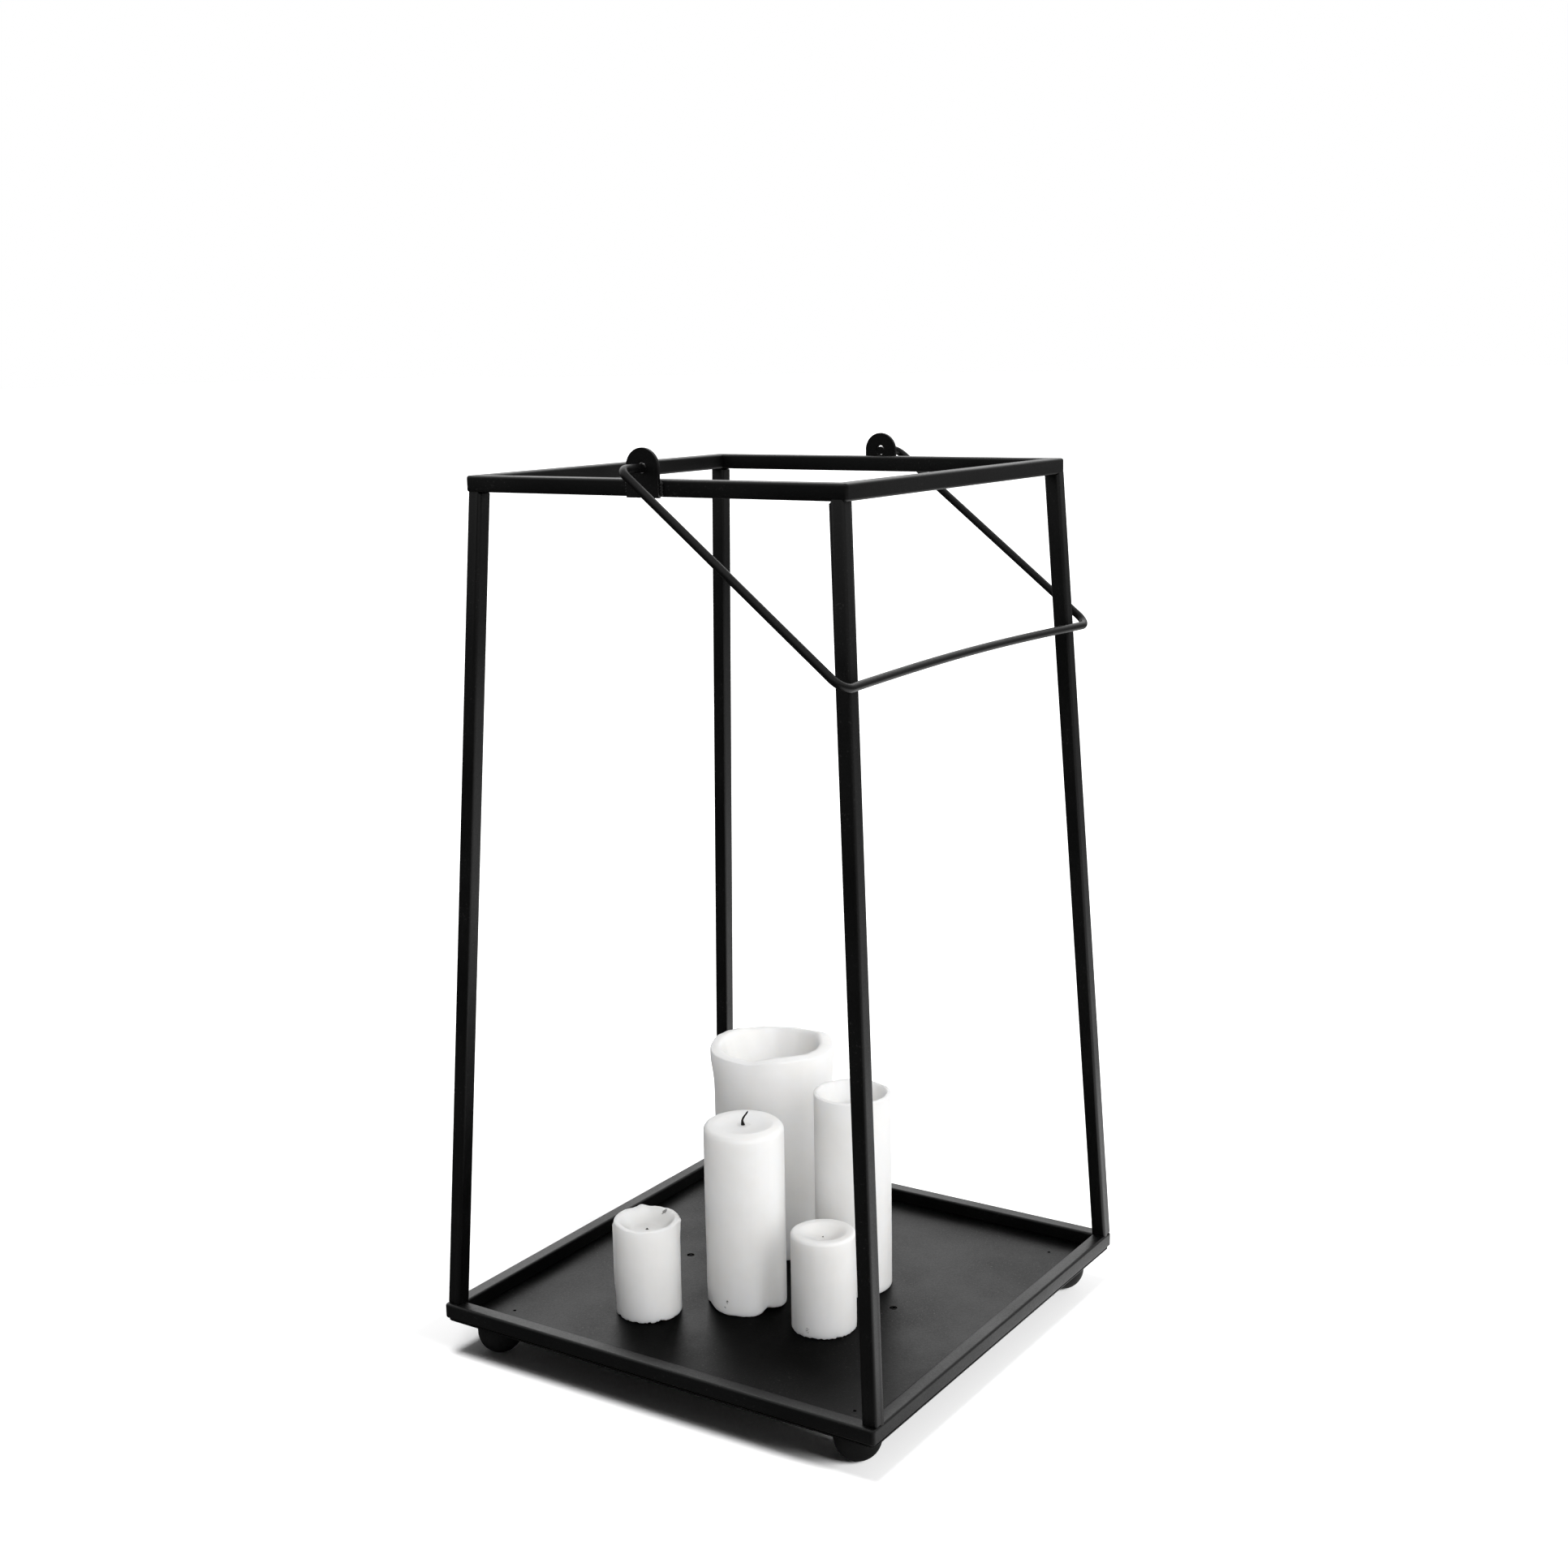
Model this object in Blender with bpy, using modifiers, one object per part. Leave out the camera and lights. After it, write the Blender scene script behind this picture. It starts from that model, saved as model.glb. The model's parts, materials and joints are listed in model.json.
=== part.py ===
"""Candle lantern: an open tapered frame of square steel tube on a steel tray, a wire bail
handle hung from two lugs, four dome feet and five pillar candles standing on the tray.

Metres, +Z up, the centre of the footprint at the origin and the feet standing on z = 0.
The two lugs and the bail's axis lie along Y.
"""
import math

import bmesh
import bpy
from mathutils import Matrix, Vector

NAME = "candle_lantern"

# Square tube and tray
TUBE = 0.012
TUBE_WALL = 0.0012
TUBE_CORNER = 0.0018
GAP = 0.0003
MITRE_SETBACK = 0.00022
BASE_SIDE = 0.390
TOP_SIDE = 0.324
FRAME_CORNER = 0.003
PLATE_THICKNESS = 0.0012
FRAME_HEIGHT = 0.6545

# How far each upright's foot, then its head, is set in from the frame's corner, along X and along Y
UPRIGHT_FOOT_INSET = {
    "front_left": (0.0010, 0.0030),
    "front_right": (0.0004, 0.0040),
    "back_right": (0.0004, 0.0004),
    "back_left": (0.0004, 0.0045),
}
UPRIGHT_HEAD_INSET = {
    "front_left": (0.0010, 0.0010),
    "front_right": (0.0024, 0.0),
    "back_right": (0.0, 0.0),
    "back_left": (0.0, 0.0),
}

# Feet
FOOT_HEIGHT = 0.0300
FOOT_RADIUS = 0.0177
FOOT_DOME_START = 0.0174
FOOT_DOME_DEPTH = 0.0181
FOOT_CENTRE = {
    "front_left": (0.1648, 0.1648),
    "front_right": (0.1625, 0.1625),
    "back_right": (0.1648, 0.1648),
    "back_left": (0.1648, 0.1648),
}

# Tray holes
LARGE_HOLE_RADIUS = 0.003
LARGE_HOLE_OFFSET = 0.0975
SMALL_HOLE_RADIUS = 0.00125
SMALL_HOLE_OFFSET = 0.1565

# Lugs and bail
LUG_X = -0.0013
LUG_SKEW = 0.0016
LUG_HALF_WIDTH = 0.0137
LUG_THICKNESS = 0.003
LUG_HOLE_RADIUS = 0.0037
LUG_HOLE_RISE = 0.0080
LUG_BACK_SET = 0.0036
LUG_DROP = 0.0006
WIRE_RADIUS = 0.0031
WIRE_HANG = 0.0003
BAIL_HALF_TOP = 0.1905
BAIL_HALF_BAR = 0.1855
BAIL_REACH = 0.2209
BAIL_DROP_DEG = 38.28
BAIL_EYE_BEND = 0.008
BAIL_CORNER_BEND = 0.011
BAIL_BOW = 0.004

# Levels worked out from the above
TRAY_UNDERSIDE = FOOT_HEIGHT + GAP
TRAY_TOP = TRAY_UNDERSIDE + PLATE_THICKNESS
BASE_RAIL_Z = TRAY_TOP + GAP + TUBE / 2
TOP_RAIL_Z = TRAY_UNDERSIDE + FRAME_HEIGHT - TUBE / 2
CANDLE_Z = TRAY_TOP + GAP
LUG_HOLE_Z = TOP_RAIL_Z + TUBE / 2 + LUG_HOLE_RISE
BAIL_AXIS_Z = LUG_HOLE_Z - LUG_BACK_SET / 2 - WIRE_HANG

# name: centre x, centre y, radius, height, dish depth, rim width, shoulder radius, wick length
CANDLES = {
    "large": (-0.0556, 0.0666, 0.0494, 0.1715, 0.026, 0.0045, 0.0020, 0.007),
    "rear": (0.0466, 0.0253, 0.0306, 0.162, 0.0165, 0.0035, 0.0016, 0.005),
    "middle": (-0.0093, -0.0463, 0.0316, 0.1485, 0.0035, 0.0030, 0.0014, 0.0115),
    "small_left": (-0.0659, -0.1004, 0.0257, 0.0764, 0.0090, 0.0028, 0.0018, 0.0020),
    "small_right": (0.0672, -0.0537, 0.0252, 0.0778, 0.0035, 0.0045, 0.0030, 0.0018),
}
CANDLE_FOOT_EDGE = 0.0008
WICK_RADIUS = 0.0010
WICK_HOLE_RADIUS = 0.0014
WICK_DEPTH = 0.006
CANDLE_STEPS = 40
FOOT_STEPS = 28
WICK_STEPS = 12


def clear_scene():
    for old in list(bpy.data.objects):
        bpy.data.objects.remove(old, do_unlink=True)


def new_collection(name):
    collection = bpy.data.collections.new(name)
    bpy.context.scene.collection.children.link(collection)
    return collection


def new_material(name, colour, roughness, metallic=0.0):
    material = bpy.data.materials.new(name)
    material.use_nodes = True
    shader = material.node_tree.nodes["Principled BSDF"]
    shader.inputs["Base Color"].default_value = (*colour, 1.0)
    shader.inputs["Roughness"].default_value = roughness
    shader.inputs["Metallic"].default_value = metallic
    return material


def place(name, data, material, location=(0, 0, 0), turn=(0, 0, 0), into=None):
    data.name = name
    data.materials.clear()
    data.materials.append(material)
    item = bpy.data.objects.new(name, data)
    item.location = location
    item.rotation_euler = turn
    (into or parts).objects.link(item)
    return item


def arc(centre, radius, start_deg, end_deg, steps):
    """Points of an arc in a plane, both ends included."""
    points = []
    for step in range(steps + 1):
        angle = math.radians(start_deg + (end_deg - start_deg) * step / steps)
        across = centre[0] + radius * math.cos(angle)
        along = centre[1] + radius * math.sin(angle)
        points.append((across, along))
    return points


def rounded_square(side, corner, steps=3):
    inner = side / 2 - corner
    points = []
    for quarter, (sx, sy) in enumerate(((1, 1), (-1, 1), (-1, -1), (1, -1))):
        centre = (sx * inner, sy * inner)
        points += arc(centre, corner, 90 * quarter, 90 * quarter + 90, steps)
    return points


def flat_plate(name, outlines, thickness):
    """A mesh of a flat shape in XY, holes included, centred on z = 0."""
    curve = bpy.data.curves.new(name + "_outline", "CURVE")
    curve.dimensions = "2D"
    curve.fill_mode = "BOTH"
    curve.extrude = thickness / 2
    for outline in outlines:
        spline = curve.splines.new("POLY")
        spline.points.add(len(outline) - 1)
        for point, (x, y) in zip(spline.points, outline):
            point.co = (x, y, 0, 1)
        spline.use_cyclic_u = True
    holder = bpy.data.objects.new(name + "_outline", curve)
    parts.objects.link(holder)
    bpy.context.view_layer.update()
    shape = holder.evaluated_get(bpy.context.evaluated_depsgraph_get())
    mesh = bpy.data.meshes.new_from_object(shape)
    bpy.data.objects.remove(holder, do_unlink=True)
    bpy.data.curves.remove(curve)
    work = bmesh.new()
    work.from_mesh(mesh)
    bmesh.ops.remove_doubles(work, verts=work.verts, dist=0.00001)
    bmesh.ops.recalc_face_normals(work, faces=work.faces)
    work.to_mesh(mesh)
    work.free()
    return mesh


def tube_mesh(name, length):
    """Square tube along Z with open ends."""
    outer = rounded_square(TUBE, TUBE_CORNER)
    inner = rounded_square(TUBE - 2 * TUBE_WALL, TUBE_CORNER - TUBE_WALL)
    return flat_plate(name, (outer, inner), length)


def add_rail(name, side, height, quarter, envelope):
    """One side of a mitred square frame; quarter 0 is the -Y side, then turning left."""
    length = side - 2 * MITRE_SETBACK
    mesh = tube_mesh(name, length)
    for vertex in mesh.vertices:
        drawn_in = vertex.co.y + TUBE / 2
        vertex.co.z -= math.copysign(drawn_in, vertex.co.z)
    mesh.transform(Matrix.Rotation(math.radians(90), 4, "Y"))
    turn = math.radians(90 * quarter)
    outward = Matrix.Rotation(turn, 3, "Z") @ Vector((0, -1, 0))
    spot = outward * (side / 2 - TUBE / 2)
    rail = place(name, mesh, steel, (spot.x, spot.y, height), (0, 0, turn))
    rounding = rail.modifiers.new("frame_corners", "BOOLEAN")
    rounding.operation = "INTERSECT"
    rounding.solver = "EXACT"
    rounding.object = envelope
    return rail


def add_envelope(name, side, height):
    """Cutter that rounds the upright outside corners of a mitred frame."""
    outline = rounded_square(side, FRAME_CORNER, 4)
    block = place(name, flat_plate(name, (outline,), 3 * TUBE), steel, (0, 0, height), into=cutters)
    block.hide_render = True
    block.display_type = "WIRE"
    return block


def add_upright(corner, sx, sy):
    low = BASE_RAIL_Z + TUBE / 2 + GAP
    high = TOP_RAIL_Z - TUBE / 2 - GAP
    foot = [BASE_SIDE / 2 - TUBE / 2 - inset for inset in UPRIGHT_FOOT_INSET[corner]]
    head = [TOP_SIDE / 2 - TUBE / 2 - inset for inset in UPRIGHT_HEAD_INSET[corner]]
    lean_x = sx * (head[0] - foot[0]) / (high - low)
    lean_y = sy * (head[1] - foot[1]) / (high - low)
    mesh = tube_mesh("upright_" + corner, high - low)
    mesh.transform(Matrix(((1, 0, lean_x, 0), (0, 1, lean_y, 0), (0, 0, 1, 0), (0, 0, 0, 1))))
    middle_x = sx * (foot[0] + head[0]) / 2
    middle_y = sy * (foot[1] + head[1]) / 2
    return place("upright_" + corner, mesh, steel, (middle_x, middle_y, (low + high) / 2))


def circle(x, y, radius, steps):
    return arc((x, y), radius, 0, 360, steps)[:-1]


def add_plate():
    outlines = [rounded_square(BASE_SIDE, FRAME_CORNER, 4)]
    for side in (-1, 1):
        outlines.append(circle(side * LARGE_HOLE_OFFSET, 0, LARGE_HOLE_RADIUS, 24))
    for sx in (-1, 1):
        for sy in (-1, 1):
            spot = (sx * SMALL_HOLE_OFFSET, sy * SMALL_HOLE_OFFSET)
            outlines.append(circle(*spot, SMALL_HOLE_RADIUS, 12))
    mesh = flat_plate("tray_plate", outlines, PLATE_THICKNESS)
    return place("tray_plate", mesh, steel, (0, 0, TRAY_TOP - PLATE_THICKNESS / 2))


def add_lug(name, side, lower):
    """Flat strip with a full round end, welded to the outside of a top rail."""
    foot = LUG_HOLE_RISE - lower + TUBE + LUG_DROP
    outline = [(-LUG_HALF_WIDTH, -foot), (LUG_HALF_WIDTH, -foot)]
    outline += arc((0, 0), LUG_HALF_WIDTH, 0, 180, 24)
    hole = circle(0, 0, LUG_HOLE_RADIUS, 32)
    mesh = flat_plate(name, (outline, hole), LUG_THICKNESS)
    mesh.transform(Matrix.Rotation(math.radians(90), 4, "X"))
    y = side * (TOP_SIDE / 2 + GAP + LUG_THICKNESS / 2)
    return place(name, mesh, steel, (LUG_X - side * LUG_SKEW, y, LUG_HOLE_Z - lower))


def bend(before, corner, after, radius, steps):
    """Points of the arc that replaces a sharp corner of a wire."""
    back = (before - corner).normalized()
    onward = (after - corner).normalized()
    half = back.angle(onward) / 2
    centre = corner + (back + onward).normalized() * radius / math.sin(half)
    start = corner + back * radius / math.tan(half)
    end = corner + onward * radius / math.tan(half)
    axis = (start - centre).cross(end - centre)
    sweep = math.pi - 2 * half
    points = []
    for step in range(steps + 1):
        turn = Matrix.Rotation(sweep * step / steps, 3, axis)
        points.append(centre + turn @ (start - centre))
    return points


def add_bail():
    """Wire handle; its origin is on the axis through the two lug holes, midway between them.

    The eyes follow the two holes, which are not quite opposite each other, the back one being
    lower; the crossbar stays level and square to the frame.
    """
    drop = math.radians(BAIL_DROP_DEG)
    reach = Vector((math.cos(drop), 0, -math.sin(drop)))
    across = Vector((0, 1, 0))
    eye = TOP_SIDE / 2 + GAP
    end = -across * eye
    shoulder = -across * BAIL_HALF_TOP
    corner = reach * BAIL_REACH - across * BAIL_HALF_BAR
    bar_mid = reach * (BAIL_REACH - BAIL_BOW)
    half = [end]
    half += bend(end, shoulder, corner, BAIL_EYE_BEND, 8)
    half += bend(shoulder, corner, bar_mid, BAIL_CORNER_BEND, 8)
    last = half[-1]
    for step in range(1, 12):
        share = step / 12
        rise = (last - reach * BAIL_REACH).dot(-reach)
        bow = rise + (BAIL_BOW - rise) * math.sin(share * math.pi / 2)
        y = last.y * (1 - share)
        half.append(reach * (BAIL_REACH - bow) + across * y)
    other = [Vector((p.x, -p.y, p.z)) for p in reversed(half)]
    path = half + [bar_mid] + other
    for spot in path:
        near_eye = 1 - min(spot.dot(reach) / BAIL_REACH, 1)
        side = near_eye * spot.y / (TOP_SIDE / 2)
        spot.z -= side * LUG_BACK_SET / 2
        spot.x -= side * LUG_SKEW
    curve = bpy.data.curves.new("bail_handle", "CURVE")
    curve.dimensions = "3D"
    curve.bevel_depth = WIRE_RADIUS
    curve.bevel_resolution = 3
    curve.use_fill_caps = True
    spline = curve.splines.new("POLY")
    spline.points.add(len(path) - 1)
    for point, spot in zip(spline.points, path):
        point.co = (*spot, 1)
    return place("bail_handle", curve, steel, (LUG_X, 0, BAIL_AXIS_Z))


def turned(name, profile, material, location, steps):
    """A round piece: the profile in XZ, listed from the axis on top down to the axis below."""
    mesh = bpy.data.meshes.new(name)
    work = bmesh.new()
    points = [work.verts.new((radius, 0, z)) for radius, z in profile]
    for first, second in zip(points, points[1:]):
        work.edges.new((first, second))
    work.to_mesh(mesh)
    work.free()
    item = place(name, mesh, material, location)
    screw = item.modifiers.new("turned", "SCREW")
    screw.axis = "Z"
    screw.steps = steps
    screw.render_steps = steps
    screw.use_merge_vertices = True
    screw.merge_threshold = 0.00001
    return item


def add_foot(corner, sx, sy):
    profile = [(0, FOOT_HEIGHT), (FOOT_RADIUS - 0.0006, FOOT_HEIGHT)]
    profile.append((FOOT_RADIUS, FOOT_HEIGHT - 0.0006))
    profile.append((FOOT_RADIUS, FOOT_DOME_START))
    lowest = math.degrees(math.asin(FOOT_DOME_START / FOOT_DOME_DEPTH))
    for step in range(1, 9):
        angle = math.radians(lowest * step / 8)
        radius = FOOT_RADIUS * math.cos(angle)
        profile.append((radius, FOOT_DOME_START - FOOT_DOME_DEPTH * math.sin(angle)))
    profile[-1] = (profile[-1][0], 0)
    profile.append((0, 0))
    across, along = FOOT_CENTRE[corner]
    return turned("foot_" + corner, profile, rubber, (sx * across, sy * along, 0), FOOT_STEPS)


def add_candle(name, x, y, radius, height, dish, rim, shoulder, wick_length):
    """A pillar candle with a hollowed top and, in a narrow hole on its axis, a wick."""
    bottom_of_dish = height - dish
    hole_floor = bottom_of_dish - WICK_DEPTH
    lip = radius - shoulder
    profile = [(0, hole_floor), (WICK_HOLE_RADIUS, hole_floor)]
    profile.append((WICK_HOLE_RADIUS, bottom_of_dish))
    inner = radius - rim
    for step in range(1, 7):
        angle = math.radians(90 * step / 6)
        across = WICK_HOLE_RADIUS + (inner - WICK_HOLE_RADIUS) * math.sin(angle)
        profile.append((across, height - dish * math.cos(angle)))
    for across, z in arc((lip, height - shoulder), shoulder, 90, 0, 3):
        profile.append((across, z))
    profile.append((radius, CANDLE_FOOT_EDGE))
    profile.append((radius - CANDLE_FOOT_EDGE, 0))
    profile.append((0, 0))
    turned("candle_" + name, profile, wax, (x, y, CANDLE_Z), CANDLE_STEPS)
    stalk = WICK_DEPTH - GAP + wick_length
    tip = WICK_RADIUS * 0.6
    wick_profile = [(0, stalk), (tip, stalk), (WICK_RADIUS, stalk - tip)]
    wick_profile += [(WICK_RADIUS, 0), (0, 0)]
    wick_z = CANDLE_Z + hole_floor + GAP
    turned("wick_" + name, wick_profile, cotton, (x, y, wick_z), WICK_STEPS)


clear_scene()
parts = new_collection(NAME)
cutters = new_collection(NAME + "_cutters")
cutters.hide_render = True
steel = new_material("black_coated_steel", (0.012, 0.012, 0.013), 0.42)
rubber = new_material("black_rubber", (0.010, 0.010, 0.011), 0.70)
wax = new_material("white_wax", (0.86, 0.84, 0.80), 0.45)
cotton = new_material("burnt_cotton", (0.03, 0.026, 0.024), 0.90)

for level, side, height in (("base", BASE_SIDE, BASE_RAIL_Z), ("top", TOP_SIDE, TOP_RAIL_Z)):
    envelope = add_envelope(level + "_corner_cutter", side, height)
    for quarter, place_name in enumerate(("front", "right", "back", "left")):
        add_rail(f"{level}_rail_{place_name}", side, height, quarter, envelope)

CORNERS = {"front_left": (-1, -1), "front_right": (1, -1), "back_right": (1, 1), "back_left": (-1, 1)}
for corner, (sx, sy) in CORNERS.items():
    add_upright(corner, sx, sy)
    add_foot(corner, sx, sy)

add_plate()
add_lug("lug_front", -1, 0)
add_lug("lug_back", 1, LUG_BACK_SET)
add_bail()
for name, sizes in CANDLES.items():
    add_candle(name, *sizes)
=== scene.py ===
"""Candle lantern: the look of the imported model, its floor, light and camera."""
import json
import math

import bmesh
import bpy
from mathutils import Matrix, Vector, noise

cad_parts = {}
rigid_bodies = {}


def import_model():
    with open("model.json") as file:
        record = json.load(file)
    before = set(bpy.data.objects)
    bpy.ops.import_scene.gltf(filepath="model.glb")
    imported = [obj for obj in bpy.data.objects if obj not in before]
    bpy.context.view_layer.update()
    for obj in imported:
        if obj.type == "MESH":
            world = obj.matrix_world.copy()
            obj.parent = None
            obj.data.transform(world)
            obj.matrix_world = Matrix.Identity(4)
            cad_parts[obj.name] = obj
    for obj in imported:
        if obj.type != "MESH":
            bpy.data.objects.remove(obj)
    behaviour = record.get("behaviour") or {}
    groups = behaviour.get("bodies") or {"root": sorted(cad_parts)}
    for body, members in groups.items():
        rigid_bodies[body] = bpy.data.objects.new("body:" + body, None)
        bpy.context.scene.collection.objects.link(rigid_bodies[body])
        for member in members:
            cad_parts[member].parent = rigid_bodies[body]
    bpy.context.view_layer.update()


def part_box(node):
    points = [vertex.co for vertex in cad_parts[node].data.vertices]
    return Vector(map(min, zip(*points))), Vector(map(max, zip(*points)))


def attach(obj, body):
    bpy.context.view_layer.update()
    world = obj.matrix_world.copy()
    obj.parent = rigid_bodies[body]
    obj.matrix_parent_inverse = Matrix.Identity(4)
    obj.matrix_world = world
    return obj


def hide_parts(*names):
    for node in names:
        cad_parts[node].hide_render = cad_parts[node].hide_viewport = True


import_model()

# Camera: where it stands round the object, how high, its roll and what it looks at
CAMERA_AZIMUTH = math.radians(33.142)
CAMERA_HEIGHT_ANGLE = math.radians(11.559)
CAMERA_ROLL = math.radians(-1.05)
CAMERA_DISTANCE = 1.62869
CAMERA_TARGET_ACROSS = 0.003418
CAMERA_TARGET_UP = 0.44211
CAMERA_LENS = 48.482

# Square tube
TUBE = 0.012
TUBE_CORNER = 0.0020
FRAME_CORNER = 0.0028
CORNER_RUN = 0.002
SEAM = 0.00016
STRAIGHT_SHARES = (0, 0.2, 0.4, 0.6, 0.8, 1)
CORNER_SHARES = (0.15, 0.3, 0.45, 0.6, 0.72, 0.84, 0.93, 1)
CORNER_STOP = 0.985

# Ends of the uprights: how far they go into the rails, and where that stays open
UPRIGHT_SET_IN = 0.0016
UPRIGHT_END_INSET = 0.00012
HEAD_OPENING_DEPTH = 0.0028
HEAD_OPENING_ACROSS = (0.0010, 0.0036)
HEAD_OPENING_ALONG = (0.0006, 0.0030)
HEAD_OPENING_ALONG_SHARE = 0.7
FOOT_SEAM_DEPTH = 0.0021
FOOT_SEAM_REACH = (0.0060, 0.0085)

# Lugs and bail
LUG_X = -0.0013
LUG_SKEW = 0.0016
LUG_HALF_WIDTH = 0.0137
LUG_HOLE_RADIUS = 0.0037
LUG_BACK_SET = 0.0036
LUG_EDGE = 0.00045
BEAD_RADIUS = 0.0019
BEAD_RIPPLES = 5
BEAD_FROM_LUG = 0.0003
BEAD_FROM_RAIL = 0.0004
BEAD_LEAN = 0.0002
BEAD_FOOT = 0.0012
BEAD_HEAD = 0.0112
WIRE_RADIUS = 0.0031
WIRE_HANG = 0.0003
BAIL_HALF_TOP = 0.1905
BAIL_HALF_BAR = 0.1855
BAIL_REACH = 0.2209
BAIL_DROP = math.radians(38.28)
BAIL_EYE_BEND = 0.008
BAIL_CORNER_BEND = 0.011
BAIL_BOW = 0.004
BAIL_HALF_EYE = 0.1623

# Tray
TRAY_SET_IN = 0.0008
TRAY_CORNER = 0.006
TRAY_EDGE = 0.00025
LARGE_HOLE_RADIUS = 0.003
LARGE_HOLE_OFFSET = 0.0975
SMALL_HOLE_RADIUS = 0.00125
SMALL_HOLE_OFFSET = 0.1565

# Feet
FOOT_EDGE = 0.0010
FOOT_DOME_CENTRE = 0.0174
FOOT_DOME_DEPTH = 0.0181

# Candles
CANDLE_SINK = 0.00025
CANDLE_FOOT_ROUND = 0.0012
CANDLE_RING_STEPS = 144
CANDLE_ROW_HEIGHT = 0.0026
WICK_ROOT = 0.002

# Light. Directions are degrees from the front towards its right, and heights are degrees.
# The wax and the floor have lamps of their own; the metal is lit by the surroundings only.
# Each lamp: name, strength, spread, direction, height
WAX_LAMPS = (("wax_key", 0.75, 50, 95, 38),
             ("wax_fill", 2.25, 70, 20, 20),
             ("wax_back_left", 0.5, 80, -120, 50))
FLOOR_LAMPS = (("floor_front", 2.5, 20, -33, 79),
               ("floor_right", 4.8, 26, 57, 28))
AMBIENT_LOW = 0.04
AMBIENT_HIGH = 0.75
AMBIENT_DIRECTION = 120
AMBIENT_RISE = 0.35
MIRRORED_DIRECTION = 190
MIRRORED_DARK = 0.22
MIRRORED_CEILING = 2.2
MIRRORED_WAX_DARKENING = 0.95
FLOOR_BOUNCE = 0.45
FLOOR_REACH = 60
FLOOR_LIT_DIRECTION = 95

# The side of each candle that is called its front
FRONT = CAMERA_AZIMUTH - math.pi / 2


def add_camera():
    az, el, roll = CAMERA_AZIMUTH, CAMERA_HEIGHT_ANGLE, CAMERA_ROLL
    forward = Vector((-math.sin(az) * math.cos(el), math.cos(az) * math.cos(el), -math.sin(el)))
    level = Vector((math.cos(az), math.sin(az), 0))
    upright = level.cross(forward)
    right = math.cos(roll) * level + math.sin(roll) * upright
    up = math.cos(roll) * upright - math.sin(roll) * level
    target = Vector((0, 0, CAMERA_TARGET_UP)) + level * CAMERA_TARGET_ACROSS
    camera = bpy.data.objects.new("camera", bpy.data.cameras.new("camera"))
    camera.data.lens = CAMERA_LENS
    camera.data.sensor_width = 36
    camera.data.clip_start = 0.01
    camera.data.clip_end = 200
    camera.matrix_world = Matrix.Translation(target - forward * CAMERA_DISTANCE) @ Matrix(
        (right, up, -forward)).transposed().to_4x4()
    bpy.context.scene.collection.objects.link(camera)
    bpy.context.scene.camera = camera


# Shapes

def smooth(low, high, value):
    share = min(max((value - low) / (high - low), 0), 1)
    return share * share * (3 - 2 * share)


def loft(name, loops, sharp_deg=40, caps=True):
    """A closed surface through loops of equal count, each end closed with a fan."""
    work = bmesh.new()
    rows = [[work.verts.new(point) for point in loop] for loop in loops]
    count = len(rows[0])
    for first, second in zip(rows, rows[1:]):
        for i in range(count):
            j = (i + 1) % count
            work.faces.new((first[i], first[j], second[j], second[i]))
    if caps:
        for row, loop, turn in ((rows[0], loops[0], -1), (rows[-1], loops[-1], 1)):
            middle = work.verts.new(sum(loop, Vector()) / count)
            for i in range(count):
                j = (i + 1) % count
                work.faces.new((row[i], row[j], middle)[::turn])
    bmesh.ops.recalc_face_normals(work, faces=work.faces)
    mesh = bpy.data.meshes.new(name)
    for face in work.faces:
        face.smooth = True
    work.to_mesh(mesh)
    work.free()
    mesh.set_sharp_from_angle(angle=math.radians(sharp_deg))
    return mesh


def piece(name, mesh, material, body, slot, *nodes, location=(0, 0, 0)):
    mesh.materials.clear()
    mesh.materials.append(material)
    item = bpy.data.objects.new(name, mesh)
    item.location = location
    bpy.context.scene.collection.objects.link(item)
    bpy.context.view_layer.update()
    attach(item, body)
    if nodes:
        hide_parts(*nodes)
    return item


def arc(cx, cy, radius, start_deg, end_deg, steps):
    points = []
    for step in range(steps + 1):
        angle = math.radians(start_deg + (end_deg - start_deg) * step / steps)
        points.append((cx + radius * math.cos(angle), cy + radius * math.sin(angle)))
    return points


def rounded_square(side, corner, steps=7, between=0):
    """An outline with round corners, and more points along each side where asked for."""
    inner = side / 2 - corner
    points = []
    signs = ((1, 1), (-1, 1), (-1, -1), (1, -1))
    for quarter, (sx, sy) in enumerate(signs):
        points += arc(sx * inner, sy * inner, corner, 90 * quarter, 90 * quarter + 90, steps)
        nx, ny = signs[(quarter + 1) % 4]
        ahead = arc(nx * inner, ny * inner, corner, 90 * quarter + 90, 90 * quarter + 90, 1)[0]
        start = points[-1]
        for step in range(1, between + 1):
            share = step / (between + 1)
            points.append((start[0] + (ahead[0] - start[0]) * share,
                           start[1] + (ahead[1] - start[1]) * share))
    return points


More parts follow.
